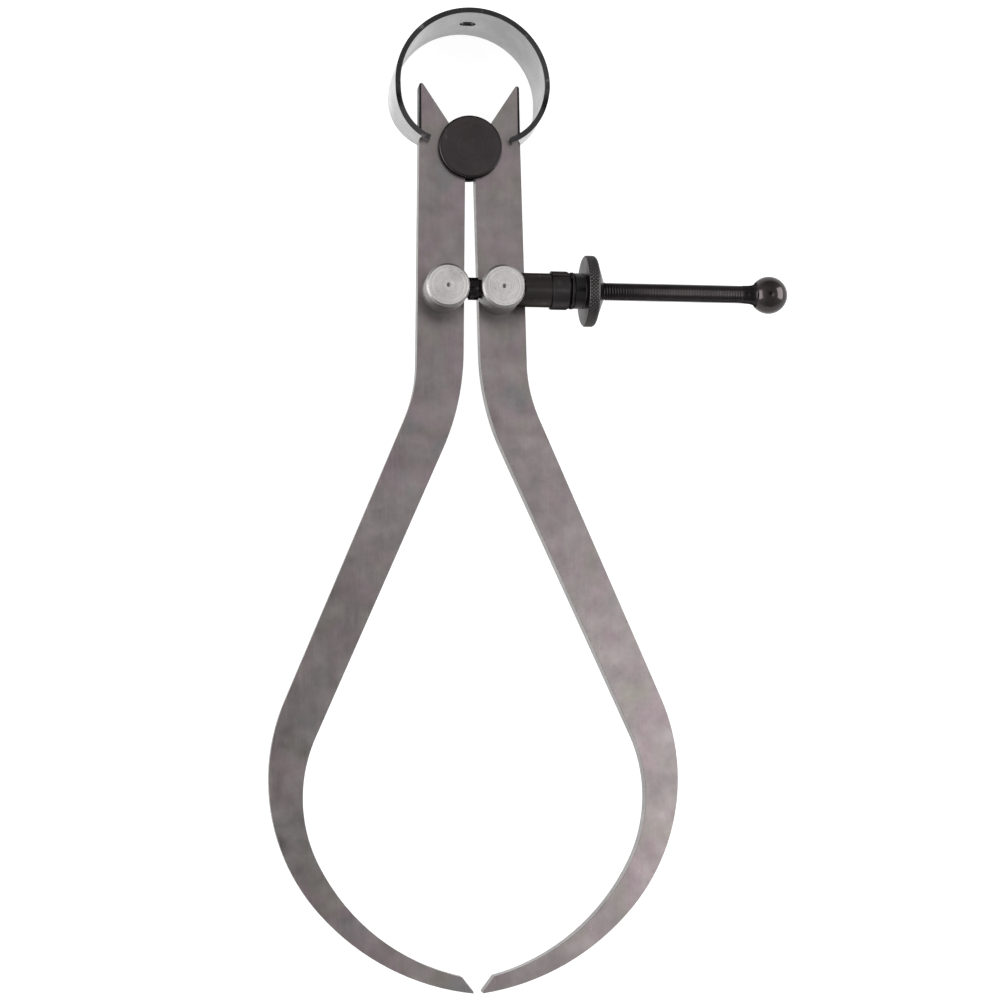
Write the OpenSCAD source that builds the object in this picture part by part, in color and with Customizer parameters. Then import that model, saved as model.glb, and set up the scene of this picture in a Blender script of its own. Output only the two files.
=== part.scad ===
// Outside spring caliper, 150 mm size, lying on its back.
// X runs across the legs, Y from the tips up to the bow, Z from the back to the front.
// The bow's rear edge lies on Z = 0. Sizes are counted from the fulcrum's axis, and the
// finished pieces are then moved so that the origin is under the middle of the caliper.

/* [Legs] */
// Thickness of the flat steel legs
leg_t = 3; // [2:0.5:4]
// Distance from the fulcrum's axis to a leg's outer edge
outer_x = 9.24; // [9.2:0.01:9.6]
// Distance from the fulcrum's axis to a leg's inner edge
inner_x = 0.84; // [0.7:0.01:1]
// Outward lean of the upper leg, in degrees
lean = 1; // [0.5:0.1:1.5]
// Radius of the rounded horn tips
horn_round = 0.4; // [0.4:0.05:0.8]
// Angle of a horn's inner edge from the middle line, in degrees
horn_angle = 33.1; // [33:0.1:36]
// Height of the small flat that ends each tip
tip_land = 0.3; // [0.2:0.1:0.4]

/* [Fulcrum] */
// Diameter of the front disc
disc_d = 11.5; // [10:0.1:12]
// Diameter of the rear flange
flange_d = 10.6; // [10:0.1:12]
// Thickness of the front disc
disc_t = 1.2; // [1:0.1:1.4]
// Thickness of the rear flange
flange_t = 1; // [0.8:0.1:1.2]
// Diameter of the barrel that the legs turn on
barrel_d = 7; // [6:0.1:7.2]

/* [Bow spring] */
// Outside radius of the round upper part of the bow
bow_r = 14; // [13.6:0.05:14.2]
// Height of the bow's centre above the fulcrum's axis
bow_y = 10.6; // [10.4:0.1:10.8]
// Outside radius of the tighter curve near each end
bow_end_r = 9.5; // [9.3:0.1:9.6]
// Thickness of the band
band_t = 0.95; // [0.9:0.05:1.2]
// Width of the band over the upper part
band_w = 12.5; // [11:0.5:13]
// Width of the band at its ends
band_end_w = 5.8; // [5.4:0.1:6.4]

/* [Posts] */
// Distance from the middle line to each post's axis
post_x = 5; // [5:0.1:5.2]
// Distance of the posts below the fulcrum's axis
post_y = 26.6; // [26:0.1:27]
// Diameter of a post's head
head_d = 7.9; // [7.4:0.1:7.9]
// Height of a post's head
head_h = 6.15; // [6.1:0.05:6.4]
// Diameter of a post's shank in its leg
shank_d = 4; // [3.6:0.1:4.2]
// Diameter of the washer behind each leg
washer_d = 6.4; // [6:0.1:6.8]
// Thickness of the washer behind each leg
washer_t = 0.8; // [0.6:0.1:1]

/* [Screw] */
// Diameter over the screw's thread
screw_d = 3.3; // [3.1:0.1:3.4]
// Distance from the middle line to the centre of the screw's ball
ball_x = 54.1; // [54:0.1:56]
// Diameter of the ball
ball_d = 6.8; // [6.4:0.1:7.2]

/* [Quick nut] */
// Outside diameter of the closing sleeve
sleeve_d = 6.1; // [5.9:0.1:6.1]
// Distance from the middle line to the sleeve's free end
sleeve_end = 13.75; // [13.7:0.05:13.9]
// Outside diameter of the two half nuts
jaw_d = 6.9; // [6.7:0.1:7]
// Length of the half nuts' thick part
jaw_len = 3.5; // [3.2:0.1:3.6]
// Distance that each half nut can open
jaw_open = 0.3; // [0.2:0.05:0.3]
// Turn of the split between the half nuts from the front, in degrees
split_angle = 37; // [0:1:90]
// Diameter of the knurled flange
knurl_d = 12.8; // [12:0.1:13]
// Thickness of the knurled flange
knurl_t = 2; // [1.8:0.1:2.2]

/* [Hidden] */
$fn = 96;

// Running clearance on a radius or a face
gap = 0.05;
// Small overlap that lets one cut run past a face
over = 1;

// Levels of the legs, the posts and the screw
mid_z = band_w / 2;
leg_back = mid_z - leg_t / 2;
leg_front = mid_z + leg_t / 2;
head_back = leg_front + gap;
screw_z = head_back + head_h / 2;
screw_y = -post_y;

// Rivets that hold the posts and the fulcrum together
rivet_h = 0.5;
rivet_step = 0.6;
head_chamfer = 0.4;
pip_d = 0.8;
pip_depth = 0.3;

// Legs: both edges run straight, turn at the knee, run straight again and close in along the bow
knee_turn = 22.1;
outer_upper = 39.5;
outer_knee_r = 26;
outer_middle = 54.4;
outer_bow_r = 34.7;
outer_bow_turn = 64.5;
outer_toe_r = 42.6;
outer_toe_turn = 41.4;
inner_upper = 37.5;
inner_knee_r = 45;
inner_knee_turn = 23.1;
inner_middle = 55.4;
inner_bow_r = 25.5;
inner_bow_turn = 51;
inner_toe_r = 37.5;
inner_toe_turn = 49.6;

// Bow: the ends curve in at a tighter radius, and a fork straddles each leg from fork_angle on
bow_low_angle = -10;
fork_angle = -61;
bow_end_angle = -71;
end_shift = bow_r - bow_end_r;
end_centre = [end_shift * cos(bow_low_angle), bow_y + end_shift * sin(bow_low_angle)];
band_mid_r = bow_end_r - band_t / 2;
fork_point = end_centre + band_mid_r * [cos(fork_angle), sin(fork_angle)];
fork_turn = 90 + fork_angle;
fork_clear = 0.1;
notch_w = 1.5;
notch_len = 3;
taper_top_y = 10;
taper_low_y = 1;
slot_w = 2.9;
slot_h = 2.2;

// Screw: blind end in its post, a collar against it and a flared neck before the ball
screw_r = screw_d / 2;
blind_depth = 2.2;
collar_r = 2;
collar_end = 0.7;
neck_len = 1.6;
neck_r = 2.3;

// Quick nut, from the nut post outwards
hole_clear = 0.1;
split_gap = 0.1;
open_clear = jaw_open + gap;
nose_r = 2.4;
nose_len = 2.6;
ring_r = 2.5;
ring_w = 0.6;
ring_t = 0.45;
tail_r = 2.1;
tail_len = 1.5;
neck_d = 6.4;
jaw_start = sleeve_end + gap;
jaw_end = jaw_start + jaw_len;
nut_start = jaw_end + ring_w + gap;
jaw_taper = 0.35;
flange_start = 19.85;
flange_end = flange_start + knurl_t;
hub_end = flange_end + 1.45;
hub_tip_r = 1.95;
flange_round = 0.6;
flange_chamfer = 0.25;

function heading(a) = [sin(a), -cos(a)];
function across(a) = [cos(a), sin(a)];

// Points of an arc that leaves p at heading a, with radius r; a positive turn curves outwards
function bend(p, a, r, turn, steps) =
    let (s = sign(turn) * r)
    [for (i = [1 : steps]) p + s * across(a) - s * across(a + turn * i / steps)];

// One edge of a leg from the fulcrum's level down to the toe
function leg_edge(x, upper, knee_r, knee, middle, bow, bow_turn, toe, toe_turn) =
    let (
        p0 = [x, 0],
        p1 = p0 + upper * heading(lean),
        knee_arc = bend(p1, lean, knee_r, knee, 12),
        a1 = lean + knee,
        p2 = knee_arc[11] + middle * heading(a1),
        bow_arc = bend(p2, a1, bow, -bow_turn, 24),
        toe_arc = bend(bow_arc[23], a1 - bow_turn, toe, -toe_turn, 16)
    )
    concat([p0, p1], knee_arc, [p2], bow_arc, toe_arc);

function reversed(list) = [for (i = [len(list) - 1 : -1 : 0]) list[i]];

function mirrored(list) = [for (p = list) [-p[0], p[1]]];

function arc(centre, r, from, to, steps) =
    [for (i = [0 : steps]) centre + r * across(from + (to - from) * i / steps)];

outer_edge = leg_edge(outer_x, outer_upper, outer_knee_r, knee_turn, outer_middle,
    outer_bow_r, outer_bow_turn, outer_toe_r, outer_toe_turn);
inner_edge = leg_edge(inner_x, inner_upper, inner_knee_r, inner_knee_turn, inner_middle,
    inner_bow_r, inner_bow_turn, inner_toe_r, inner_toe_turn);
horn_x = outer_x - lean / 10 - horn_round;
horn_reach = (horn_x - inner_x) * cos(horn_angle) - horn_round;
horn_tip = arc([horn_x, horn_reach / sin(horn_angle)], horn_round, 180 - horn_angle, 0, 8);
tip = outer_edge[len(outer_edge) - 1];

// Puts the origin under the middle of the whole caliper
frame_x = (ball_x + ball_d / 2 - max([for (p = outer_edge) p[0]])) / 2;
frame_y = (bow_y + bow_r + tip[1]) / 2;

module placed() {
    translate([-frame_x, -frame_y, 0]) children();
}

module leg_outline() {
    land_top = tip + [0, tip_land];
    polygon(concat(horn_tip, outer_edge, [land_top], reversed(inner_edge)));
}

// Cut in a leg's outer edge that the bow's end presses into
module spring_notch() {
    translate(fork_point)
        rotate(fork_turn)
            translate([-gap, -notch_w / 2])
                square([notch_len, notch_w]);
}

module leg() {
    difference() {
        translate([0, 0, leg_back])
            linear_extrude(height = leg_t)
                difference() {
                    leg_outline();
                    spring_notch();
                }
        translate([0, 0, leg_back - over])
            cylinder(h = leg_t + 2 * over, r = barrel_d / 2 + gap);
        translate([post_x, screw_y, leg_back - over])
            cylinder(h = leg_t + 2 * over, r = shank_d / 2 + gap);
    }
}

module left_leg() {
    color("dimgray") placed() mirror([1, 0, 0]) leg();
}

module right_leg() {
    color("gray") placed() leg();
}

// The band seen from the front, from the left end over the top to the right end and back inside
module band_outline() {
    left_start = 180 - bow_low_angle;
    outer_end = arc(end_centre, bow_end_r, bow_low_angle, bow_end_angle, 16);
    inner_end = arc(end_centre, bow_end_r - band_t, bow_end_angle, bow_low_angle, 16);
    polygon(concat(
        mirrored(reversed(outer_end)),
        arc([0, bow_y], bow_r, left_start, bow_low_angle, 64),
        outer_end,
        inner_end,
        arc([0, bow_y], bow_r - band_t, bow_low_angle, left_start, 64),
        mirrored(reversed(inner_end))
    ));
}

// Side view of the band: full width above, narrower towards the ends
module band_side() {
    slope = (band_w - band_end_w) / 2 / (taper_top_y - taper_low_y);
    low_z = slope * taper_top_y;
    rotate([90, 0, 90])
        linear_extrude(height = 4 * bow_r, center = true)
            polygon([
                [0, low_z], [taper_top_y, 0], [2 * bow_r + over, 0],
                [2 * bow_r + over, band_w], [taper_top_y, band_w], [0, band_w - low_z]
            ]);
}

module fork_cut() {
    translate([fork_point[0], fork_point[1], mid_z])
        rotate([0, 0, fork_turn])
            translate([-notch_len, -notch_len / 2, -leg_t / 2 - fork_clear])
                cube([notch_len, notch_len, leg_t + 2 * fork_clear]);
}

module bow_spring() {
    color("lightslategray") placed()
        difference() {
            intersection() {
                linear_extrude(height = band_w)
                    band_outline();
                band_side();
            }
            fork_cut();
            mirror([1, 0, 0]) fork_cut();
            translate([0, bow_y + bow_r, mid_z])
                rotate([90, 0, 0])
                    for (side = [-1, 1])
                        translate([side * (slot_w - slot_h) / 2, 0, 0])
                            cylinder(h = 4 * band_t, d = slot_h, center = true);
            translate([0, bow_y + bow_r, mid_z])
                cube([slot_w - slot_h, 4 * band_t, slot_h], center = true);
        }
}

// Turned stud: front disc, barrel between the legs and a riveted rear end
module fulcrum_stud() {
    flange_back = leg_back - gap - flange_t;
    spigot_r = shank_d / 2;
    chamfer = flange_chamfer;
    front = head_back + disc_t;
    color([0.24, 0.23, 0.24]) placed()
        rotate_extrude()
            polygon([
                [0, flange_back - rivet_h], [spigot_r, flange_back - rivet_h],
                [spigot_r + rivet_step, flange_back], [spigot_r, flange_back],
                [spigot_r, leg_back - gap], [barrel_d / 2, leg_back - gap],
                [barrel_d / 2, head_back], [disc_d / 2, head_back],
                [disc_d / 2, front - chamfer], [disc_d / 2 - chamfer, front], [0, front]
            ]);
}

module washer(outer, thick, bore) {
    translate([0, 0, leg_back - gap - thick])
        difference() {
            cylinder(h = thick, d = outer);
            translate([0, 0, -over])
                cylinder(h = thick + 2 * over, d = bore + 2 * gap / 5);
        }
}

module fulcrum_flange() {
    color([0.24, 0.23, 0.24]) placed() washer(flange_d, flange_t, shank_d);
}

// Turned post with a riveted rear end and a small centre mark on its head
module post_blank() {
    back = leg_back - gap - washer_t;
    front = head_back + head_h;
    head_r = head_d / 2;
    shank_r = shank_d / 2;
    difference() {
        rotate_extrude()
            polygon([
                [0, back - rivet_h], [shank_r, back - rivet_h], [shank_r + rivet_step, back],
                [shank_r, back], [shank_r, head_back], [head_r, head_back],
                [head_r, front - head_chamfer], [head_r - head_chamfer, front], [0, front]
            ]);
        translate([0, 0, front - pip_depth])
            cylinder(h = pip_depth + 0.01, d1 = 0.1, d2 = pip_d);
    }
}

module screw_post() {
    color("silver") placed()
        difference() {
            translate([-post_x, screw_y, 0]) post_blank();
            translate([-post_x - blind_depth, screw_y, screw_z])
                rotate([0, 90, 0])
                    cylinder(h = blind_depth + head_d, r = screw_r + gap / 5);
        }
}

module nut_post() {
    color("silver") placed()
        difference() {
            translate([post_x, screw_y, 0]) post_blank();
            translate([post_x - head_d, screw_y, screw_z])
                rotate([0, 90, 0])
                    cylinder(h = 2 * head_d, r = screw_r + hole_clear);
        }
}

module screw_post_washer() {
    color("darkgray") placed() translate([-post_x, screw_y, 0]) washer(washer_d, washer_t, shank_d);
}

module nut_post_washer() {
    color("darkgray") placed() translate([post_x, screw_y, 0]) washer(washer_d, washer_t, shank_d);
}

// Turns a profile of [radius, distance along X] about the screw's axis
module turned(profile) {
    translate([0, screw_y, screw_z])
        rotate([0, 90, 0])
            rotate_extrude()
                polygon(profile);
}

// Rod with a collar, a flared neck and a ball in one piece
module adjusting_screw() {
    ball_r = ball_d / 2;
    start = -post_x - blind_depth + gap;
    neck_end = ball_x - sqrt(ball_r * ball_r - neck_r * neck_r);
    neck_arc = [
        for (i = [0 : 6])
            let (a = 90 * i / 6)
            [screw_r + (neck_r - screw_r) * (1 - cos(a)), neck_end - neck_len * (1 - sin(a))]
    ];
    ball_start = acos((ball_x - neck_end) / ball_r);
    ball_arc = [
        for (i = [1 : 24])
            let (a = 180 - ball_start - (180 - ball_start) * i / 24)
            [ball_r * sin(a), ball_x + ball_r * cos(a)]
    ];
    collar_start = -post_x + head_d / 2 + gap;
    collar = [
        [screw_r, collar_start], [collar_r, collar_start],
        [collar_r, collar_end], [screw_r, collar_end]
    ];
    color([0.2, 0.19, 0.2]) placed()
        turned(concat([[0, start], [screw_r, start]], collar, neck_arc, ball_arc));
}

// Ferrule with a saddle that fits the round post and a cup for the half nuts
module closing_sleeve() {
    sleeve_r = sleeve_d / 2;
    cup_start = jaw_start - nose_len - gap;
    color([0.22, 0.21, 0.2]) placed()
        difference() {
            turned([
                [screw_r + hole_clear, post_x], [sleeve_r, post_x],
                [sleeve_r, sleeve_end], [nose_r + open_clear, sleeve_end],
                [nose_r + open_clear, cup_start], [screw_r + hole_clear, cup_start]
            ]);
            translate([post_x, screw_y, head_back - over])
                cylinder(h = head_h + 2 * over, r = head_d / 2 + gap);
        }
}

// Both half nuts before they are split
module jaw_blank() {
    jaw_r = jaw_d / 2;
    bore_r = screw_r + gap;
    turned([
        [bore_r, jaw_start - nose_len], [nose_r, jaw_start - nose_len],
        [nose_r, jaw_start], [jaw_r, jaw_start],
        [jaw_r, jaw_end - 2 * jaw_taper], [jaw_r - jaw_taper, jaw_end],
        [ring_r, jaw_end], [ring_r, jaw_end + ring_w], [tail_r, jaw_end + ring_w],
        [tail_r, nut_start + tail_len], [bore_r, nut_start + tail_len]
    ]);
}

// One side of the split plane, which holds the screw's axis
module half_space(side) {
    size = 4 * jaw_d;
    translate([sleeve_end, screw_y, screw_z])
        rotate([-split_angle, 0, 0])
            translate([-size / 2, side > 0 ? split_gap : -size - split_gap, -size / 2])
                cube(size);
}

module upper_jaw() {
    color([0.2, 0.19, 0.19]) placed()
        intersection() {
            jaw_blank();
            half_space(1);
        }
}

module lower_jaw() {
    color([0.2, 0.19, 0.19]) placed()
        intersection() {
            jaw_blank();
            half_space(-1);
        }
}

// Open spring ring round both half nuts
module jaw_ring() {
    inner_r = ring_r + open_clear;
    color([0.3, 0.29, 0.29]) placed()
        difference() {
            turned([
                [inner_r, jaw_end + gap], [inner_r + ring_t, jaw_end + gap],
                [inner_r + ring_t, jaw_end + ring_w - gap], [inner_r, jaw_end + ring_w - gap]
            ]);
            translate([jaw_end - over, screw_y, screw_z])
                rotate([-split_angle, 0, 0])
                    translate([0, 0, -split_gap * 4])
                        cube([ring_w + 2 * over, jaw_d, split_gap * 8]);
        }
}

// Knurled flange with a neck that takes the half nuts' tails and a flat cone behind it
module knurled_nut() {
    knurl_r = knurl_d / 2;
    bore_r = screw_r + 2 * gap;
    cup_end = nut_start + tail_len + gap;
    rim = [
        for (i = [0 : 6])
            let (a = 90 * i / 6)
            [knurl_r - flange_round * (1 - cos(a)), flange_end - flange_round * (1 - sin(a))]
    ];
    color([0.25, 0.24, 0.24]) placed()
        turned(concat(
            [
                [tail_r + open_clear, nut_start], [neck_d / 2, nut_start],
                [neck_d / 2, flange_start], [knurl_r - flange_chamfer, flange_start],
                [knurl_r, flange_start + flange_chamfer]
            ],
            rim,
            [
                [hub_tip_r, hub_end], [bore_r, hub_end],
                [bore_r, cup_end], [tail_r + open_clear, cup_end]
            ]
        ));
}

left_leg();
right_leg();
bow_spring();
fulcrum_stud();
fulcrum_flange();
screw_post();
screw_post_washer();
nut_post();
nut_post_washer();
adjusting_screw();
closing_sleeve();
upper_jaw();
lower_jaw();
jaw_ring();
knurled_nut();
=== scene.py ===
# Outside spring caliper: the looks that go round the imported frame. Lengths are in metres.
import math

import bmesh
import bpy
import numpy as np
from mathutils import Matrix, Vector


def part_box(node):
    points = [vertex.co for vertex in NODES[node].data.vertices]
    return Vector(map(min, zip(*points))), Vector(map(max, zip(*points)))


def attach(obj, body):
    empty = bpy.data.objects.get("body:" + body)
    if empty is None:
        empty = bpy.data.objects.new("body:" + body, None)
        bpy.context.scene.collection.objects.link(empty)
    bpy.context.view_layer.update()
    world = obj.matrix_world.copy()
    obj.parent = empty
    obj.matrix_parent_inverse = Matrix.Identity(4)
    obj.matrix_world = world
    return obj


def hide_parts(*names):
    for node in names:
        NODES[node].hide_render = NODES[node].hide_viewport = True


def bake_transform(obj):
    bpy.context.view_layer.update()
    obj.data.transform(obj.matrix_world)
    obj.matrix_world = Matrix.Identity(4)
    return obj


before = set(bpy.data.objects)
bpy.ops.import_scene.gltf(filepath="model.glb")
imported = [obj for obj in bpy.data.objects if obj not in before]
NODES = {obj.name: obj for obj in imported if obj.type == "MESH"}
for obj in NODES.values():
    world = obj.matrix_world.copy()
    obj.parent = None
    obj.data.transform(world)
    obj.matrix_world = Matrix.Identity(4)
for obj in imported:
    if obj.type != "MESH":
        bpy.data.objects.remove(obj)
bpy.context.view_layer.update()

MM = 0.001
X_AXIS, Z_AXIS = 0, 2

# Camera: the point it looks at, its distance and its direction, fitted to the photograph
LOOK_AT = Vector((-5.93, -1.36, 7.75)) * MM
CAMERA_DISTANCE = 390 * MM
CAMERA_YAW = math.radians(9.04)
CAMERA_TILT = math.radians(6.61)
CAMERA_ROLL = math.radians(-0.66)
SENSOR = 36.0
FOCAL_RATIO = 2.195

# Sizes of the screw and the nut, and of the details that the CAD leaves plain
SCREW_R = 1.65 * MM
NECK_R = 2.3 * MM
NECK_LENGTH = 1.6 * MM
COLLAR_R = 2.0 * MM
COLLAR_START = 6.15 * MM
COLLAR_END = 7.85 * MM
THREAD_PITCH = 0.5 * MM
THREAD_DEPTH = 0.19 * MM
THREAD_STEPS = 6
NUT_NECK_R = 3.2 * MM
NUT_CUP_R = 2.45 * MM
NUT_CUP_LENGTH = 1.55 * MM
NUT_BORE_R = 1.75 * MM
FLANGE_WIDTH = 2.0 * MM
HUB_LENGTH = 1.45 * MM
HUB_R = 1.95 * MM
FLANGE_CHAMFER = 0.25 * MM
FLANGE_ROUND = 0.6 * MM
THREAD_GAPS = (0.4 * MM, 0.6 * MM)
ROD_SEGMENTS = 32
NECK_STEPS = 8
BALL_STEPS = 32
PIP_R = 0.45 * MM
PIP_DEPTHS = (0.01 * MM, 0.4 * MM)
KNURL_COUNT = 60
KNURL_DEPTH = 0.16 * MM
KNURL_STEPS = 8
KNURL_FADE = 0.3 * MM
RIM_STEPS = 16
SHOULDER_STEPS = 6

# Clean-up of the CAD meshes, and broken edges: the angles past which they count as sharp,
# and their widths. A post's front rim is rounded more broadly than the rest.
WELD_DISTANCE = 1e-7
FLAT_ANGLE = math.radians(0.4)
EDGE_ANGLE = math.radians(38)
EDGE_SEGMENTS = 2
EDGE_WIDTH = 0.12 * MM
LEG_EDGE_WIDTH = 0.18 * MM
FINE_EDGE_WIDTH = 0.1 * MM
WASHER_EDGE_WIDTH = 0.08 * MM
RING_EDGE_WIDTH = 0.06 * MM
POST_RIM_WIDTH = 0.5 * MM
RIM_ANGLE = 0.4
RIM_SEGMENTS = 6
RIM_SHARE = 0.45
RIM_HEIGHT = 0.02 * MM
CORNER_STEPS = (0.0, 0.35, 0.65, 1.0)

# Places in the lists of materials, and the part of a normal at which the material changes
FACE, EDGE, SIDE = 0, 1, 2
INNER_FACE, OUTER_FACE = 0, 2
PIP = 1
ROD, BALL = 0, 1
LEG_SIDE_NORMAL = 0.05
DISC_SIDE_NORMAL = 0.5
BOW_FACE_NORMAL = 0.6
DOME_NORMAL = 0.88

# Painted shade on the legs and the bow's ends: a dark line along the horns' outer edges, dark spots
# where the bow's prongs sit in the leg notches, and a painted shadow below each post. A spot has a
# radius where it is full and one where it has faded out.
HORN_REACH = 9.5 * MM
HORN_FADE = 2 * MM
HORN_TOP = 6 * MM
HORN_SHADE_LINE = (0.42 * MM, 0.3 * MM)
BOW_END_SHADE = (0.5 * MM, 1.5 * MM)
BOW_TIP_SHADE = (0.7 * MM, 1.7 * MM)
POST_SHADOW = (3.3 * MM, 5.6 * MM)
POST_SHADOW_SHIFT = Vector((-0.3, -1.7, 0)) * MM

# The bow's two halves meet at its crown, and each half gets an extra cut this close to the seam
SEAM_STRIP = 0.06 * MM

# Stage
FLOOR_SIZE = 3.0
FLOOR_STEPS = 6
FLOOR_GLOW = 0.88
DARK_SPOT = (-0.015, -0.02, 1.0)  # the shaded part of the ceiling that the legs mirror


# ------------------------------------------------------------------ materials

def node(tree, kind, inputs=None, **settings):
    """Adds a shader node; inputs maps a socket's name or number to a value or another socket."""
    made = tree.nodes.new(kind)
    for key, value in settings.items():
        setattr(made, key, value)
    for key, value in (inputs or {}).items():
        if isinstance(value, bpy.types.NodeSocket):
            tree.links.new(value, made.inputs[key])
        else:
            made.inputs[key].default_value = value
    return made


def ramp(tree, factor, stops):
    """A colour ramp through (position, colour) stops."""
    made = node(tree, "ShaderNodeValToRGB", {"Fac": factor})
    elements = made.color_ramp.elements
    while len(elements) < len(stops):
        elements.new(0.5)
    for element, (position, colour) in zip(elements, stops):
        element.position = position
        element.color = (*colour, 1)
    return made.outputs["Color"]


def grey(value):
    return (value, value, value)


def noise(tree, coords, scale, detail, stretch=(1, 1, 1), rough=0.55):
    """Noise with its scale in features per metre, stretched by scaling each axis."""
    mapping = node(tree, "ShaderNodeMapping", {"Vector": coords, "Scale": stretch})
    made = node(tree, "ShaderNodeTexNoise", {
        "Vector": mapping.outputs[0], "Scale": scale, "Detail": detail, "Roughness": rough,
    })
    return made.outputs["Fac"]


def mix(tree, factor, a, b, blend="MIX"):
    made = node(tree, "ShaderNodeMix", data_type="RGBA", blend_type=blend)
    for key, value in (("Factor", factor), ("A", a), ("B", b)):
        sockets = [s for s in made.inputs if s.name == key and s.enabled]
        if isinstance(value, bpy.types.NodeSocket):
            tree.links.new(value, sockets[0])
        else:
            sockets[0].default_value = value
    return [s for s in made.outputs if s.enabled][0]


def math_node(tree, operation, a, b=0.0, clamp=False):
    return node(tree, "ShaderNodeMath", {0: a, 1: b}, operation=operation, use_clamp=clamp).outputs[0]


class Metal:
    """A metal made up of layers: patches of tone, casts, specks, tool marks and a bump."""

    def __init__(self, name, dark, light, rough, rough_spread):
        self.material = bpy.data.materials.new(name)
        self.material.use_nodes = True
        self.tree = self.material.node_tree
        self.tree.nodes.clear()
        self.coords = node(self.tree, "ShaderNodeTexCoord").outputs["Object"]
        self.shader = node(self.tree, "ShaderNodeBsdfPrincipled", {"Metallic": 1.0})
        output = node(self.tree, "ShaderNodeOutputMaterial")
        self.tree.links.new(self.shader.outputs[0], output.inputs["Surface"])
        patches = noise(self.tree, self.coords, 85, 4.0)
        self.colour = ramp(self.tree, patches, [(0.32, dark), (0.68, light)])
        self.roughness = ramp(self.tree, noise(self.tree, self.coords, 240, 4.0), [
            (0.3, grey(rough - rough_spread)), (0.7, grey(rough + rough_spread)),
        ])
        self.height = None

    def tint(self, factor, colour):
        """Lays a colour over what is there, where factor is 1."""
        self.colour = mix(self.tree, factor, self.colour, (*colour, 1))

    def scale_tone(self, factor, low, high):
        """Multiplies the colour by a tone between low and high."""
        tone = ramp(self.tree, factor, [(0.3, grey(low)), (0.7, grey(high))])
        self.colour = mix(self.tree, 1.0, self.colour, tone, "MULTIPLY")

    def roughen(self, factor, amount):
        """Adds to the roughness where factor is 1."""
        more = math_node(self.tree, "MULTIPLY", factor, amount)
        self.roughness = math_node(self.tree, "ADD", self.roughness, more, clamp=True)

    def relief(self, height, weight):
        """Adds a height field in millimetres, scaled by weight."""
        scaled = math_node(self.tree, "MULTIPLY", height, weight)
        if self.height is None:
            self.height = scaled
        else:
            self.height = math_node(self.tree, "ADD", self.height, scaled)

    def specks(self, scale, threshold, colour):
        """Small stains where a noise passes the threshold."""
        field = noise(self.tree, self.coords, scale, 2.0)
        mask = ramp(self.tree, field, [(threshold, grey(0)), (threshold + 0.05, grey(1))])
        self.tint(mask, colour)
        self.roughen(mask, 0.15)

    def done(self):
        tree = self.tree
        tree.links.new(self.colour, self.shader.inputs["Base Color"])
        tree.links.new(self.roughness, self.shader.inputs["Roughness"])
        if self.height is not None:
            bump = node(tree, "ShaderNodeBump", {
                "Strength": 1.0, "Distance": MM, "Height": self.height,
            })
            tree.links.new(bump.outputs[0], self.shader.inputs["Normal"])
        return self.material


def axis_distance(metal, centre, axis):
    """Distance from the line through centre along an axis."""
    tree = metal.tree
    shift = node(tree, "ShaderNodeVectorMath", {0: metal.coords, 1: tuple(centre)},
                 operation="SUBTRACT").outputs[0]
    keep = [0.0 if i == axis else 1.0 for i in range(3)]
    flat = node(tree, "ShaderNodeVectorMath", {0: shift, 1: keep}, operation="MULTIPLY").outputs[0]
    return node(tree, "ShaderNodeVectorMath", {0: flat}, operation="LENGTH").outputs["Value"]


def rings(metal, centre, axis, scale):
    """Fine concentric tool marks about an axis through centre, as a field from 0 to 1."""
    radius = axis_distance(metal, centre, axis)
    place = node(metal.tree, "ShaderNodeCombineXYZ", {0: radius}).outputs[0]
    return noise(metal.tree, place, scale, 3.0, rough=0.7)


def shade_spot(metal, centre, radii, amount):
    """Mask for a painted shade spot: amount within the first radius of an upright line through
    centre, 0 at the second.
    """
    inner, outer = radii
    return node(metal.tree, "ShaderNodeMapRange", {
        "Value": axis_distance(metal, centre, Z_AXIS),
        "From Min": inner, "From Max": outer, "To Min": amount, "To Max": 0.0,
    }).outputs[0]


def bow_ends():
    """Where the bow's two front prongs end on the legs."""
    _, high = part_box("bow_spring")
    points = [v.co for v in NODES["bow_spring"].data.vertices if v.co.z > high.z - MM]
    crown_x = middle("bow_spring").x
    halves = ([p for p in points if p.x < crown_x], [p for p in points if p.x > crown_x])
    return [min(half, key=lambda p: p.y).copy() for half in halves]


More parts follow.
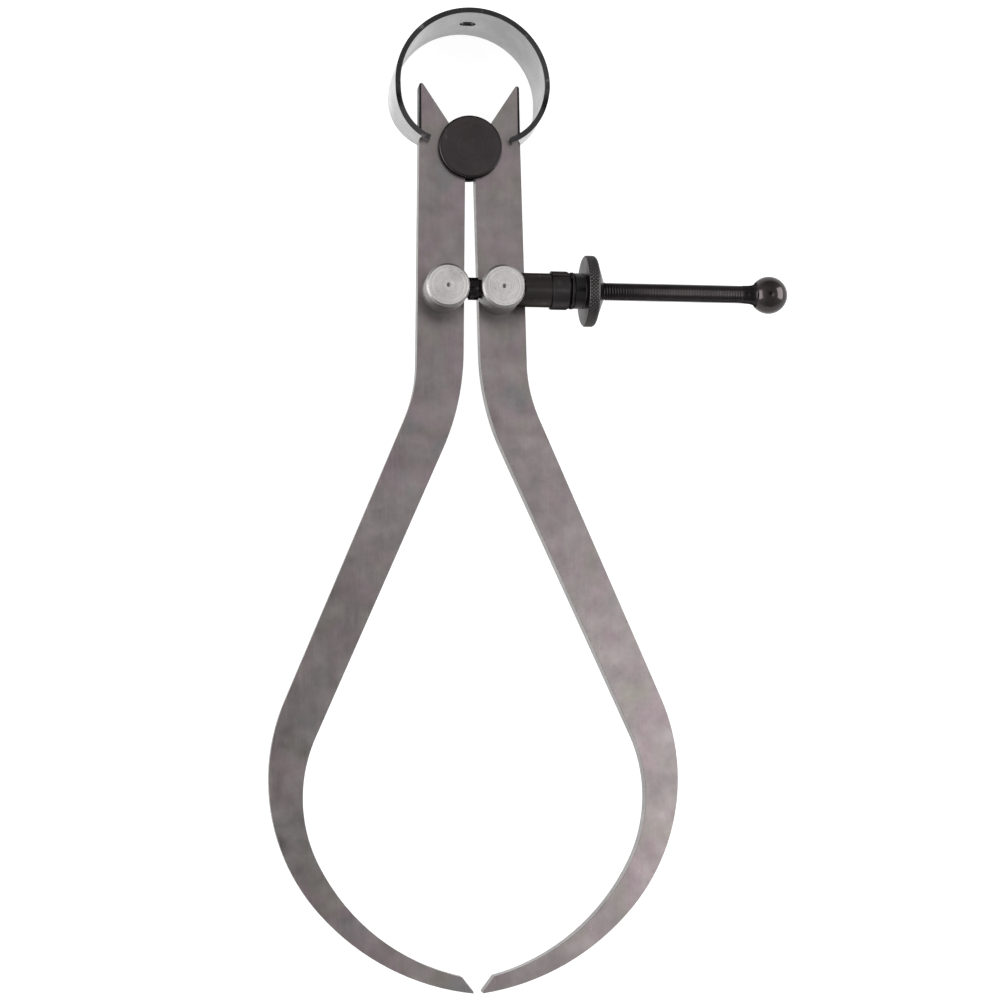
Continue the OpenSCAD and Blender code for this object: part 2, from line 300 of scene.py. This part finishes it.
def leg_steel():
    """Satin ground steel: soft cloudy patches, pink and olive casts, faint grinding lines, with
    painted shade at the bow's ends and along the horns, and a painted shadow below each post.
    """
    metal = Metal("leg_steel", (0.335, 0.298, 0.298), (0.455, 0.402, 0.40), 0.29, 0.04)
    tree, coords = metal.tree, metal.coords
    for scale, stretch, start, colour in (
        (150, (1, 0.7, 1), 0.46, (0.400, 0.325, 0.348)),
        (210, (0.8, 0.6, 1), 0.52, (0.372, 0.345, 0.316)),
        (120, (1, 0.8, 1.3), 0.56, (0.350, 0.338, 0.345)),
    ):
        cast = ramp(tree, noise(tree, coords, scale, 3.0, stretch),
                    [(start, grey(0)), (start + 0.12, grey(0.85))])
        metal.tint(cast, colour)
    metal.scale_tone(noise(tree, coords, 260, 5.0, rough=0.6), 0.87, 1.13)
    lines = noise(tree, coords, 1.0, 4.0, (4200, 150, 4200), 0.65)
    metal.scale_tone(lines, 0.965, 1.035)
    metal.roughen(lines, 0.05)
    metal.relief(lines, 0.004)
    metal.relief(noise(tree, coords, 420, 4.0), 0.02)
    metal.specks(850, 0.74, (0.25, 0.235, 0.235))
    metal.relief(noise(tree, coords, 2600, 3.0), 0.008)
    # Painted shade on the leg face where each bow prong sits in its notch.
    for end in bow_ends():
        metal.tint(shade_spot(metal, end, BOW_END_SHADE, 0.8), (0.05, 0.046, 0.046))
    # Painted shadow on the leg below and round each post.
    for kind in ("screw", "nut"):
        below = middle(f"{kind}_post") + POST_SHADOW_SHIFT
        metal.tint(shade_spot(metal, below, POST_SHADOW, 0.5), (0.12, 0.108, 0.11))
    # Painted shade: a dark line along the horns' outer edges.
    metal.tint(horn_shade_line(metal), (0.04, 0.037, 0.038))
    return metal.done()


def horn_outer_x():
    """Distance of a horn's straight outer edge from the middle line."""
    low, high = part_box("left_leg")
    crown_x = middle("bow_spring").x
    tops = [v.co for v in NODES["left_leg"].data.vertices if v.co.y > high.y - HORN_TOP]
    return max(abs(p.x - crown_x) for p in tops)


def horn_shade_line(metal):
    """1 along the straight outer edges of the horns, where the leg face gets a painted dark line of
    shade.
    """
    tree = metal.tree
    from_crown = node(tree, "ShaderNodeVectorMath",
                      {0: metal.coords, 1: tuple(middle("bow_spring"))}, operation="SUBTRACT")
    sideways = node(tree, "ShaderNodeSeparateXYZ", {0: from_crown.outputs[0]}).outputs[0]
    edge_x = horn_outer_x()
    line = node(tree, "ShaderNodeMapRange", {
        "Value": math_node(tree, "ABSOLUTE", sideways),
        "From Min": edge_x - HORN_SHADE_LINE[0], "From Max": edge_x - HORN_SHADE_LINE[1],
    }).outputs[0]
    return math_node(tree, "MULTIPLY", line, near_horns(metal))


def near_horns(metal):
    """1 on the horns above the bow's notches, fading out below."""
    along = node(metal.tree, "ShaderNodeSeparateXYZ", {0: metal.coords}).outputs[1]
    _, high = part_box("left_leg")
    return node(metal.tree, "ShaderNodeMapRange", {
        "Value": along, "From Min": high.y - HORN_REACH - HORN_FADE,
        "From Max": high.y - HORN_REACH,
    }).outputs[0]


def worn_edge():
    """The narrow broken edge round a leg, darker than the ground face, with painted shade on it round
    the horns.
    """
    metal = Metal("worn_edge", (0.07, 0.067, 0.067), (0.13, 0.125, 0.123), 0.36, 0.08)
    metal.relief(noise(metal.tree, metal.coords, 1800, 3.0), 0.01)
    # Painted shade round the horns, under the bow.
    metal.tint(near_horns(metal), (0.04, 0.038, 0.04))
    return metal.done()


def cut_side():
    """The sheared sides of the legs, with painted shade on them round the horns, under the bow."""
    metal = Metal("cut_side", (0.19, 0.183, 0.18), (0.29, 0.28, 0.276), 0.40, 0.06)
    lines = noise(metal.tree, metal.coords, 1.0, 3.0, (3000, 3000, 260), 0.6)
    metal.scale_tone(lines, 0.85, 1.1)
    metal.relief(lines, 0.010)
    # Painted shade round the horns, under the bow.
    metal.tint(near_horns(metal), (0.035, 0.034, 0.036))
    return metal.done()


def spring_face(name, tone, end_tone):
    """Bright polished strip on one of the bow's two faces, duller towards its ends."""
    metal = Metal(name, grey(0.92 * tone), grey(1.08 * tone), 0.27, 0.06)
    lines = noise(metal.tree, metal.coords, 1.0, 3.0, (900, 900, 5200), 0.6)
    metal.scale_tone(lines, 0.92, 1.06)
    metal.relief(lines, 0.006)
    metal.scale_tone(noise(metal.tree, metal.coords, 300, 4.0), 0.9, 1.1)
    metal.specks(1100, 0.72, (0.3, 0.29, 0.29))
    low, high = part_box("bow_spring")
    along = node(metal.tree, "ShaderNodeSeparateXYZ", {0: metal.coords}).outputs[1]
    crownward = node(metal.tree, "ShaderNodeMapRange", {
        "Value": along, "From Min": low.y + 3 * MM, "From Max": (low.y + high.y) / 2,
    }).outputs[0]
    metal.scale_tone(crownward, end_tone, 1.0)
    return metal.done()


def spring_edge():
    """Dark heat-blued edge of the bow's strip, with painted shade at the prong tips where they sit in
    the leg notches.
    """
    metal = Metal("spring_edge", (0.045, 0.045, 0.048), (0.085, 0.082, 0.085), 0.36, 0.08)
    metal.relief(noise(metal.tree, metal.coords, 2400, 3.0), 0.012)
    worn = ramp(metal.tree, noise(metal.tree, metal.coords, 500, 4.0),
                [(0.62, grey(0)), (0.72, grey(0.6))])
    metal.tint(worn, (0.26, 0.25, 0.25))
    # Painted shade at each prong tip.
    for end in bow_ends():
        metal.tint(shade_spot(metal, end, BOW_TIP_SHADE, 0.85), (0.015, 0.014, 0.015))
    return metal.done()


def bright_steel(name, centre):
    """Turned steel with concentric tool marks about a post's axis, dulled in soft patches."""
    metal = Metal(name, (0.74, 0.715, 0.705), (0.88, 0.86, 0.84), 0.38, 0.06)
    tree, coords = metal.tree, metal.coords
    marks = rings(metal, centre, Z_AXIS, 2000)
    metal.scale_tone(marks, 0.88, 1.05)
    metal.relief(marks, 0.07)
    dull = ramp(tree, noise(tree, coords, 420, 4.0), [(0.45, grey(0)), (0.7, grey(0.7))])
    metal.tint(dull, (0.58, 0.555, 0.54))
    metal.roughen(dull, 0.12)
    metal.relief(noise(tree, coords, 600, 4.0), 0.08)
    metal.specks(1300, 0.67, (0.42, 0.40, 0.39))
    return metal.done()


def shaded_post_side(name, centre):
    """The posts' turned sides, slightly rougher than their faces and painted darker: painted shade.
    """
    metal = Metal(name, (0.20, 0.19, 0.19), (0.30, 0.287, 0.285), 0.42, 0.08)
    marks = noise(metal.tree, metal.coords, 1.0, 3.0, (40, 40, 3800), 0.65)
    metal.scale_tone(marks, 0.85, 1.1)
    metal.relief(marks, 0.02)
    metal.relief(noise(metal.tree, metal.coords, 700, 4.0), 0.04)
    metal.specks(900, 0.70, (0.2, 0.19, 0.19))
    return metal.done()


def centre_mark():
    """The bottom of the small centre mark on a post's head: rough, and painted dark as painted shade
    in the recess.
    """
    metal = Metal("centre_mark", (0.16, 0.15, 0.15), (0.26, 0.25, 0.24), 0.65, 0.1)
    metal.relief(noise(metal.tree, metal.coords, 3000, 2.0), 0.01)
    return metal.done()


def black_oxide(name, centre, axis, base, rough, marks_height=0.012, worn_crests=False,
                grazing=0.35):
    """Blackened steel with turning marks and lighter rubbed patches."""
    dark = tuple(0.8 * c for c in base)
    light = tuple(1.2 * c for c in base)
    metal = Metal(name, dark, light, rough, 0.06)
    metal.shader.inputs["Specular Tint"].default_value = (*grey(grazing), 1)
    marks = rings(metal, centre, axis, 3800)
    metal.scale_tone(marks, 0.85, 1.15)
    metal.relief(marks, marks_height)
    metal.relief(noise(metal.tree, metal.coords, 2200, 3.0), 0.012)
    rubbed = ramp(metal.tree, noise(metal.tree, metal.coords, 420, 5.0),
                  [(0.6, grey(0)), (0.74, grey(0.45))])
    metal.tint(rubbed, tuple(min(1.0, 1.9 * c + 0.02) for c in base))
    brown = ramp(metal.tree, noise(metal.tree, metal.coords, 160, 3.0),
                 [(0.5, grey(0)), (0.7, grey(0.5))])
    metal.tint(brown, (1.15 * base[0], 0.98 * base[1], 0.92 * base[2]))
    if worn_crests:
        crest = node(metal.tree, "ShaderNodeAttribute", attribute_name="crest").outputs["Fac"]
        uneven = ramp(metal.tree, noise(metal.tree, metal.coords, 700, 3.0),
                      [(0.35, grey(0.35)), (0.6, grey(1))])
        bare = math_node(metal.tree, "MULTIPLY", crest, uneven)
        metal.tint(bare, (0.14, 0.135, 0.132))
    return metal.done()


# ------------------------------------------------------------------ mesh tools

def add_object(name, mesh_data, materials):
    made = bpy.data.objects.new(name, mesh_data)
    bpy.context.scene.collection.objects.link(made)
    for material in materials:
        made.data.materials.append(material)
    return made


def finish_normals(piece):
    """Smooth shading in which the large flat faces stay flat."""
    for polygon in piece.data.polygons:
        polygon.use_smooth = True
    weighted = piece.modifiers.new("weighted", "WEIGHTED_NORMAL")
    weighted.keep_sharp = True


def clean_copy(name):
    """The CAD node's mesh with its triangles joined back into flat faces."""
    bm = bmesh.new()
    bm.from_mesh(NODES[name].data)
    bmesh.ops.remove_doubles(bm, verts=bm.verts, dist=WELD_DISTANCE)
    bmesh.ops.dissolve_limit(bm, angle_limit=FLAT_ANGLE, verts=bm.verts, edges=bm.edges)
    return bm


def break_edges(bm, width, material):
    """Rounds every sharp edge; the new faces get their own material."""
    sharp = [
        e for e in bm.edges
        if len(e.link_faces) == 2 and e.calc_face_angle(0.0) > EDGE_ANGLE
    ]
    bmesh.ops.bevel(
        bm, geom=sharp, offset=width, offset_type="OFFSET", segments=EDGE_SEGMENTS, profile=0.5,
        affect="EDGES", clamp_overlap=True, material=material, harden_normals=False,
    )


def to_mesh(bm, name):
    mesh_data = bpy.data.meshes.new(name)
    bm.to_mesh(mesh_data)
    bm.free()
    return mesh_data


def dome_rim(bm, width):
    """Rounds the front rim of a turned piece more broadly than its other edges."""
    top = max(v.co.z for v in bm.verts)
    low_x, high_x = min(v.co.x for v in bm.verts), max(v.co.x for v in bm.verts)
    low_y, high_y = min(v.co.y for v in bm.verts), max(v.co.y for v in bm.verts)
    middle_x, middle_y = (low_x + high_x) / 2, (low_y + high_y) / 2
    reach = RIM_SHARE * (high_x - low_x)
    rim = [
        e for e in bm.edges
        if len(e.link_faces) == 2 and e.calc_face_angle(0.0) > RIM_ANGLE and all(
            v.co.z > top - RIM_HEIGHT
            and math.hypot(v.co.x - middle_x, v.co.y - middle_y) > reach for v in e.verts
        )
    ]
    bmesh.ops.bevel(bm, geom=rim, offset=width, offset_type="OFFSET", segments=RIM_SEGMENTS,
                    profile=0.5, affect="EDGES", clamp_overlap=True, harden_normals=False)


def refined(node_name, piece_name, materials, body, width=EDGE_WIDTH, edge_material=FACE,
            rim=0.0):
    """Stands for a CAD node: the same shape with its edges broken."""
    bm = clean_copy(node_name)
    if rim:
        dome_rim(bm, rim)
    break_edges(bm, width, edge_material)
    piece = add_object(piece_name, to_mesh(bm, piece_name), materials)
    finish_normals(piece)
    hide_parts(node_name)
    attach(piece, body)
    return piece


def softened(profile, width):
    """A profile of (along, radius) points with each corner rounded over width."""
    points = []
    for before, corner, after in zip(profile, profile[1:], profile[2:]):
        here = Vector(corner)
        back, ahead = Vector(before) - here, Vector(after) - here
        start = here + back.normalized() * min(width, 0.45 * back.length)
        end = here + ahead.normalized() * min(width, 0.45 * ahead.length)
        for t in CORNER_STEPS:
            points.append(tuple((1 - t) ** 2 * start + 2 * t * (1 - t) * here + t * t * end))
    return [tuple(profile[0])] + points + [tuple(profile[-1])]


def turned(name, profile, axis, segments, closed, shape):
    """Turns (along X, radius) points about the line through axis. shape(along, radius, turn)
    gives the depth of a cut there and how worn its crest is. An open profile starts and ends
    on the axis."""
    bm = bmesh.new()
    crest = bm.verts.layers.float.new("crest")
    rows = []
    for x, r in profile:
        if r < 1e-9:
            rows.append([bm.verts.new((x, axis.y, axis.z))])
            continue
        row = []
        for k in range(segments):
            a = 2 * math.pi * k / segments
            cut, worn = shape(x, r, k / segments)
            place = (x, axis.y + (r - cut) * math.cos(a), axis.z + (r - cut) * math.sin(a))
            row.append(bm.verts.new(place))
            row[-1][crest] = worn
        rows.append(row)
    pairs = list(zip(rows, rows[1:]))
    if closed:
        pairs.append((rows[-1], rows[0]))
    for a, b in pairs:
        for k in range(segments):
            n = (k + 1) % segments
            if len(a) == 1 and len(b) > 1:
                bm.faces.new((a[0], b[k], b[n]))
            elif len(b) == 1 and len(a) > 1:
                bm.faces.new((a[k], b[0], a[n]))
            elif len(a) > 1:
                bm.faces.new((a[k], b[k], b[n], a[n]))
    bmesh.ops.recalc_face_normals(bm, faces=bm.faces)
    return to_mesh(bm, name)


def middle(name):
    low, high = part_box(name)
    return (low + high) / 2


# ------------------------------------------------------------------ pieces

def build_legs():
    materials = [leg_steel(), worn_edge(), cut_side()]
    for side in ("left", "right"):
        piece = refined(f"{side}_leg", f"{side}_leg_plate", materials,
                        f"{side}_leg", LEG_EDGE_WIDTH, edge_material=EDGE)
        for polygon in piece.data.polygons:
            if abs(polygon.normal.z) < LEG_SIDE_NORMAL:
                polygon.material_index = SIDE


def build_bow():
    """The bow as two halves that meet at the crown."""
    # The two faces are one steel in two tones, with the inner one darker: painted shade inside the
    # ring.
    materials = [spring_face("bow_inner_face", 0.30, 0.9), spring_edge(),
                 spring_face("bow_outer_face", 0.46, 0.74)]
    crown_x = middle("bow_spring").x
    low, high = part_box("bow_spring")
    centre = Vector((crown_x, high.y - (high.x - low.x) / 2, middle("bow_spring").z))
    for side, sign in (("left", -1), ("right", 1)):
        bm = clean_copy("bow_spring")
        break_edges(bm, FINE_EDGE_WIDTH, EDGE)
        for offset in (SEAM_STRIP, 0.0):
            geometry = bm.verts[:] + bm.edges[:] + bm.faces[:]
            bmesh.ops.bisect_plane(
                bm, geom=geometry, dist=1e-8, plane_co=(crown_x + sign * offset, 0, 0),
                plane_no=(-sign, 0, 0), clear_outer=(offset == 0.0),
            )
        for f in bm.faces:
            outward = f.calc_center_median() - centre
            outward.z = 0
            facing = f.normal.dot(outward.normalized())
            if abs(facing) < BOW_FACE_NORMAL:
                f.material_index = EDGE
            elif f.material_index == INNER_FACE and facing > 0:
                f.material_index = OUTER_FACE
        piece = add_object(f"bow_{side}_half", to_mesh(bm, f"bow_{side}_half"), materials)
        finish_normals(piece)
        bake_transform(piece)
        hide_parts("bow_spring")


def build_fulcrum():
    centre = middle("fulcrum_stud")
    disc = black_oxide("disc_black", centre, Z_AXIS, (0.064, 0.056, 0.058), 0.5)
    # The rim and broken edges get a darker copy of the disc's black: painted shade.
    rim = black_oxide("disc_rim_black", centre, Z_AXIS, (0.026, 0.023, 0.024), 0.6)
    stud = refined("fulcrum_stud", "fulcrum_disc", [disc, rim], "fulcrum",
                   FINE_EDGE_WIDTH, edge_material=EDGE)
    for polygon in stud.data.polygons:
        if abs(polygon.normal.z) < DISC_SIDE_NORMAL:
            polygon.material_index = EDGE
    refined("fulcrum_flange", "fulcrum_rear_flange", [disc], "fulcrum",
            FINE_EDGE_WIDTH)


def build_posts():
    for kind, body in (("screw", "screw_carrier"), ("nut", "nut_carrier")):
        centre = middle(f"{kind}_post")
        steel = bright_steel(f"{kind}_post_steel", centre)
        # The sides and washers get a darker copy of the posts' steel: painted shade.
        side = shaded_post_side(f"{kind}_shaded_post_side", centre)
        post = refined(f"{kind}_post", f"{kind}_post_turned", [steel, centre_mark(), side],
                       body, FINE_EDGE_WIDTH, rim=POST_RIM_WIDTH)
        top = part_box(f"{kind}_post")[1].z
        for polygon in post.data.polygons:
            out = (polygon.center - Vector((centre.x, centre.y, polygon.center.z))).length
            # The centre mark's recess gets the dark centre_mark material: painted shade.
            if out < PIP_R and PIP_DEPTHS[0] < top - polygon.center.z < PIP_DEPTHS[1]:
                polygon.material_index = PIP
            elif abs(polygon.normal.z) < DOME_NORMAL:
                polygon.material_index = SIDE
        refined(f"{kind}_post_washer", f"{kind}_post_ring", [side], body,
                WASHER_EDGE_WIDTH)


def build_quick_nut():
    centre = middle("adjusting_screw")
    sleeve = black_oxide("sleeve_black", centre, X_AXIS, (0.047, 0.043, 0.041), 0.34)
    jaw = black_oxide("jaw_black", centre, X_AXIS, (0.046, 0.042, 0.043), 0.32)
    refined("closing_sleeve", "closing_ferrule", [sleeve], "nut_carrier")
    refined("upper_jaw", "upper_half_nut", [jaw], "upper_jaw", FINE_EDGE_WIDTH)
    refined("lower_jaw", "lower_half_nut", [jaw], "lower_jaw", FINE_EDGE_WIDTH)
    refined("jaw_ring", "jaw_spring_ring", [jaw], "nut", RING_EDGE_WIDTH)
    knurled = black_oxide("nut_black", centre, X_AXIS, (0.042, 0.039, 0.040), 0.3, 0.01,
                          worn_crests=True, grazing=0.7)
    build_knurled_nut(knurled)


def build_knurled_nut(material):
    """The nut with a real diamond knurl round its rim."""
    low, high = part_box("knurled_nut")
    axis = middle("knurled_nut")
    rim_r = (high.y - low.y) / 2
    flange_end = high.x - HUB_LENGTH
    flange_start = flange_end - FLANGE_WIDTH
    rim_start, rim_end = flange_start + FLANGE_CHAMFER, flange_end - FLANGE_ROUND
    face = softened([
        (low.x + NUT_CUP_LENGTH, NUT_BORE_R), (low.x + NUT_CUP_LENGTH, NUT_CUP_R),
        (low.x, NUT_CUP_R), (low.x, NUT_NECK_R), (flange_start, NUT_NECK_R),
        (flange_start, rim_r - FLANGE_CHAMFER), (rim_start, rim_r),
    ], EDGE_WIDTH)
    rim = [
        (rim_start + (rim_end - rim_start) * i / RIM_STEPS, rim_r) for i in range(1, RIM_STEPS)
    ]
    shoulder = [
        (flange_end - FLANGE_ROUND * (1 - math.sin(a)), rim_r - FLANGE_ROUND * (1 - math.cos(a)))
        for a in (math.pi / 2 * i / SHOULDER_STEPS for i in range(SHOULDER_STEPS + 1))
    ]
    back = softened([shoulder[-1], (high.x, HUB_R), (high.x, NUT_BORE_R),
                     (low.x + NUT_CUP_LENGTH, NUT_BORE_R)], FINE_EDGE_WIDTH)
    profile = face + rim + shoulder + back[1:-1]

    def knurl(x, r, turn):
        """Two crossing sets of grooves, cut into the rim and running out on its rounded edges."""
        pitch = 2 * math.pi * rim_r / KNURL_COUNT
        along = (x - rim_start) / pitch
        around = turn * KNURL_COUNT
        crossing = [abs(((around + s * along) % 1.0) * 2 - 1) for s in (-1, 1)]
        fade = max(0.0, 1 - (rim_r - r) / KNURL_FADE)
        return KNURL_DEPTH * (1 - min(crossing)) * fade, fade * min(crossing) ** 2

    data = turned("knurled_thumb_nut", profile, axis, KNURL_COUNT * KNURL_STEPS, True, knurl)
    piece = add_object("knurled_thumb_nut", data, [material])
    for polygon in piece.data.polygons:
        polygon.use_smooth = True
    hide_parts("knurled_nut")
    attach(piece, "nut")


def build_screw():
    """The rod with a real helical thread, its collar, flared neck and ball."""
    low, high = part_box("adjusting_screw")
    axis = middle("adjusting_screw")
    ball_r = (high.y - low.y) / 2
    ball_x = high.x - ball_r
    collar_start, collar_end = low.x + COLLAR_START, low.x + COLLAR_END
    neck_end = ball_x - math.sqrt(ball_r ** 2 - NECK_R ** 2)
    thread_start = collar_end + THREAD_GAPS[0]
    thread_end = neck_end - NECK_LENGTH - THREAD_GAPS[1]
    rod = softened([
        (low.x, 0), (low.x, SCREW_R), (collar_start, SCREW_R), (collar_start, COLLAR_R),
        (collar_end, COLLAR_R), (collar_end, SCREW_R), (thread_start, SCREW_R),
    ], EDGE_WIDTH)
    step = THREAD_PITCH / THREAD_STEPS
    count = int((thread_end - thread_start) / step)
    thread = [(thread_start + step * i, SCREW_R) for i in range(1, count)]
    neck = [
        (neck_end - NECK_LENGTH * (1 - math.sin(a)),
         SCREW_R + (NECK_R - SCREW_R) * (1 - math.cos(a)))
        for a in (math.pi / 2 * i / NECK_STEPS for i in range(NECK_STEPS + 1))
    ]
    first = math.pi - math.acos((ball_x - neck_end) / ball_r)
    ball = [
        (ball_x + ball_r * math.cos(first * (1 - i / BALL_STEPS)),
         ball_r * math.sin(first * (1 - i / BALL_STEPS)))
        for i in range(1, BALL_STEPS)
    ]
    profile = rod + thread + neck + ball + [(high.x, 0)]

    def ridge(x, r, turn):
        """The thread's groove, running out at both ends, and its worn crest."""
        if not thread_start < x < thread_end:
            return 0.0, 0.0
        fade = min(1.0, (x - thread_start) / THREAD_PITCH, (thread_end - x) / THREAD_PITCH)
        phase = 2 * math.pi * ((x / THREAD_PITCH - turn) % 1.0)
        groove = min(1.0, 1.3 * (0.5 - 0.5 * math.cos(phase)))
        return THREAD_DEPTH * groove * fade, 0.2 * fade * (1 - groove) ** 2

    black = black_oxide("screw_black", axis, X_AXIS, (0.028, 0.025, 0.026), 0.22, 0.003,
                        worn_crests=True)
    ball_black = black_oxide("ball_black", axis, X_AXIS, (0.050, 0.044, 0.045), 0.17, 0.002,
                             grazing=0.85)
    data = turned("threaded_rod", profile, axis, ROD_SEGMENTS, False, ridge)
    piece = add_object("threaded_rod", data, [black, ball_black])
    for polygon in piece.data.polygons:
        polygon.use_smooth = True
        polygon.material_index = BALL if polygon.center.x > neck_end else ROD
    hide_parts("adjusting_screw")
    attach(piece, "screw_carrier")


# ------------------------------------------------------------------ stage

def build_floor():
    """A pale floor that touches the bow's rear edge and both tips, as the caliper lies on it."""
    bow = np.array([v.co for v in NODES["bow_spring"].data.vertices])
    near_y = bow[bow[:, 2] < 1e-5][:, 1].min()
    tip_low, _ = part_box("left_leg")
    slope = math.atan2(tip_low.z, near_y - tip_low.y)
    bm = bmesh.new()
    bmesh.ops.create_grid(bm, x_segments=FLOOR_STEPS, y_segments=FLOOR_STEPS,
                          size=FLOOR_SIZE)
    turn = Matrix.Translation((0, near_y, 0)) @ Matrix.Rotation(-slope, 4, "X")
    bmesh.ops.transform(bm, matrix=turn, verts=bm.verts)
    material = bpy.data.materials.new("pale_floor")
    material.use_nodes = True
    tree = material.node_tree
    shader = tree.nodes["Principled BSDF"]
    coords = node(tree, "ShaderNodeTexCoord").outputs["Object"]
    tone = ramp(tree, noise(tree, coords, 60, 3.0), [(0.3, grey(0.34)), (0.7, grey(0.37))])
    tree.links.new(tone, shader.inputs["Base Color"])
    shader.inputs["Roughness"].default_value = 0.9
    shader.inputs["Specular IOR Level"].default_value = 0.1
    shader.inputs["Emission Color"].default_value = (1, 1, 1, 1)
    shader.inputs["Emission Strength"].default_value = FLOOR_GLOW
    floor = add_object("floor", to_mesh(bm, "floor"), [material])


def build_camera():
    """The camera where the photograph's was, with its slight roll."""
    yaw, tilt = CAMERA_YAW, CAMERA_TILT
    back = Vector((-math.sin(yaw) * math.cos(tilt), -math.sin(tilt), math.cos(yaw) * math.cos(tilt)))
    right = Vector((0, 1, 0)).cross(back).normalized()
    up = back.cross(right)
    c, s = math.cos(CAMERA_ROLL), math.sin(CAMERA_ROLL)
    right, up = c * right + s * up, -s * right + c * up
    data = bpy.data.cameras.new("camera")
    data.sensor_width = SENSOR
    data.lens = FOCAL_RATIO * SENSOR
    data.clip_start = 0.01
    data.clip_end = 20
    camera = bpy.data.objects.new("camera", data)
    camera.matrix_world = Matrix.Translation(LOOK_AT + CAMERA_DISTANCE * back) @ Matrix((
        (right.x, up.x, back.x, 0), (right.y, up.y, back.y, 0), (right.z, up.z, back.z, 0),
        (0, 0, 0, 1),
    ))
    bpy.context.scene.collection.objects.link(camera)
    bpy.context.scene.camera = camera


def softbox(name, place, size, power):
    """A rectangular soft light aimed at the middle of the caliper."""
    data = bpy.data.lights.new(name, "AREA")
    data.shape = "RECTANGLE"
    data.size, data.size_y = size
    data.energy = power
    light = bpy.data.objects.new(name, data)
    light.location = place
    aim = Vector(place) - LOOK_AT
    light.rotation_euler = aim.to_track_quat("Z", "Y").to_euler()
    bpy.context.scene.collection.objects.link(light)


def build_light():
    """A grey studio with a dark spot overhead, and three soft lights."""
    world = bpy.data.worlds.new("studio")
    bpy.context.scene.world = world
    world.use_nodes = True
    tree = world.node_tree
    tree.nodes.clear()
    direction = node(tree, "ShaderNodeTexCoord").outputs["Generated"]
    parts = node(tree, "ShaderNodeSeparateXYZ", {0: direction})
    sideways = math_node(tree, "ABSOLUTE", parts.outputs[0])
    sides = ramp(tree, sideways, [(0.3, grey(0.0)), (0.95, grey(0.45))])
    up = ramp(tree, parts.outputs[2], [(0.0, grey(0.42)), (0.4, grey(0.40)), (0.85, grey(0.52))])
    tone = mix(tree, 1.0, up, sides, "ADD")
    away = node(tree, "ShaderNodeVectorMath", {0: direction, 1: DARK_SPOT},
                operation="DISTANCE").outputs["Value"]
    shade = ramp(tree, away, [(0.10, grey(0.0)), (0.31, grey(1.0))])
    tone = mix(tree, 1.0, tone, shade, "MULTIPLY")
    sky = node(tree, "ShaderNodeBackground", {"Color": tone, "Strength": 1.0})
    output = node(tree, "ShaderNodeOutputWorld")
    tree.links.new(sky.outputs[0], output.inputs["Surface"])
    softbox("left_box", (-0.60, 0.02, 0.24), (0.60, 0.40), 3.6)
    softbox("right_box", (0.58, 0.10, 0.28), (0.60, 0.44), 3.9)
    softbox("right_panel", (0.19, -0.05, 0.62), (0.16, 0.16), 0.135)
    scene = bpy.context.scene
    scene.view_settings.view_transform = "Standard"
    scene.view_settings.look = "None"


build_camera()
build_light()
build_floor()
build_legs()
build_bow()
build_fulcrum()
build_posts()
build_quick_nut()
build_screw()
